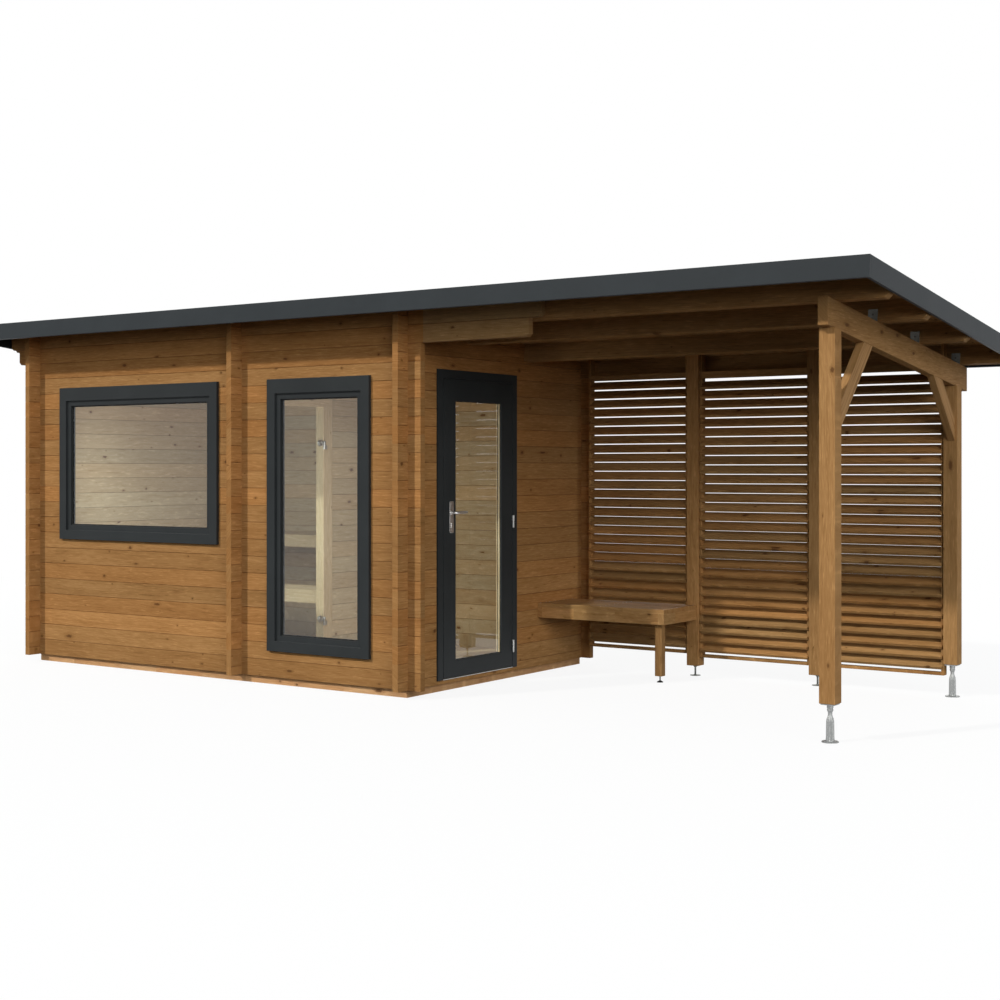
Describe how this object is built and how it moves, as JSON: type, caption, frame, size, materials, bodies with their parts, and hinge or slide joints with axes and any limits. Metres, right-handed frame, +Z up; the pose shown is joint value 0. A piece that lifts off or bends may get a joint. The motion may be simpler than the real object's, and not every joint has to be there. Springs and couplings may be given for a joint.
{
  "type": "sauna cabin",
  "caption": "Log sauna cabin with large fixed windows, a glazed door and a covered terrace with louvred screens and a bench under one mono-pitch roof.",
  "frame": {"origin": "on the ground, at the middle of the joint between the bearers under the front wall and the door wall", "axes": "+X to the right along the front wall, +Y from the front to the back, +Z up"},
  "size_m": [6.957, 2.6879, 2.501],
  "materials": {
    "log_wood": "stained planed log with visible grain and knots",
    "bearer_wood": "pale pressure-treated timber",
    "floor_wood": "planed pine boards",
    "frame_wood": "stained planed glulam",
    "screen_wood": "stained planed slats",
    "bench_wood": "stained planed boards",
    "roof_wood": "planed roof boards",
    "sauna_wood": "pale untreated sauna wood",
    "anthracite_paint": "satin anthracite",
    "anthracite_metal": "satin anthracite sheet",
    "window_glass": "clear insulated glass",
    "satin_steel": "satin steel",
    "white_hinge": "white enamelled hinge",
    "zinc_steel": "zinc-plated steel",
    "roof_felt": "dark mineral roofing felt"
  },
  "bodies": {
    "cabin": {"foundation": "bearer_wood", "floor": "floor_wood", "front_wall": "log_wood", "rear_wall": "log_wood", "left_wall": "log_wood", "partition_front": "log_wood", "partition_rear": "log_wood", "partition_top": "log_wood", "door_wall_front": "log_wood", "door_wall_rear": "log_wood", "door_wall_top": "log_wood", "door_sill": "log_wood", "wide_window_frame": "anthracite_paint", "wide_window_glass": "window_glass", "tall_window_frame": "anthracite_paint", "tall_window_glass": "window_glass", "door_frame": "anthracite_paint", "door_threshold": "satin_steel", "frame_hinges": "white_hinge", "sauna_door_frame": "sauna_wood", "sauna_frame_hinges": "satin_steel", "sauna_benches": "sauna_wood", "purlins": "frame_wood", "roof_boards": "roof_wood", "roof_felt": "roof_felt", "eave_fascias": "anthracite_metal", "side_fascias": "anthracite_metal", "terrace_beam": "frame_wood", "knee_braces": "frame_wood", "purlin_brackets": "zinc_steel", "front_post": "frame_wood", "rear_posts": "frame_wood", "post_feet": "zinc_steel", "screen_left": "screen_wood", "screen_middle": "screen_wood", "screen_right": "screen_wood", "bench_top": "bench_wood", "bench_frame": "bench_wood"},
    "entrance_door": {"door_leaf": "anthracite_paint", "door_glass": "window_glass", "door_lock": "satin_steel", "door_hinges": "white_hinge"},
    "door_lever": {"door_lever": "satin_steel"},
    "sauna_door": {"sauna_door_glass": "window_glass", "sauna_door_fittings": "satin_steel"}
  },
  "joints": [
    {"name": "entrance_door_swing", "type": "hinge", "parent": "cabin", "child": "entrance_door", "pos_m": [0.078, 1.0975, 1.1], "axis": [0, 0, 1], "range_deg": [0, 100]},
    {"name": "door_lever_turn", "type": "hinge", "parent": "entrance_door", "child": "door_lever", "pos_m": [0.069, 0.39, 1.15], "axis": [-1, 0, 0], "range_deg": [0, 40], "stiffness_Nm_per_rad": 1.5},
    {"name": "sauna_door_swing", "type": "hinge", "parent": "cabin", "child": "sauna_door", "pos_m": [-1.332, 0.7695, 1], "axis": [0, 0, 1], "range_deg": [0, 90]}
  ]
}
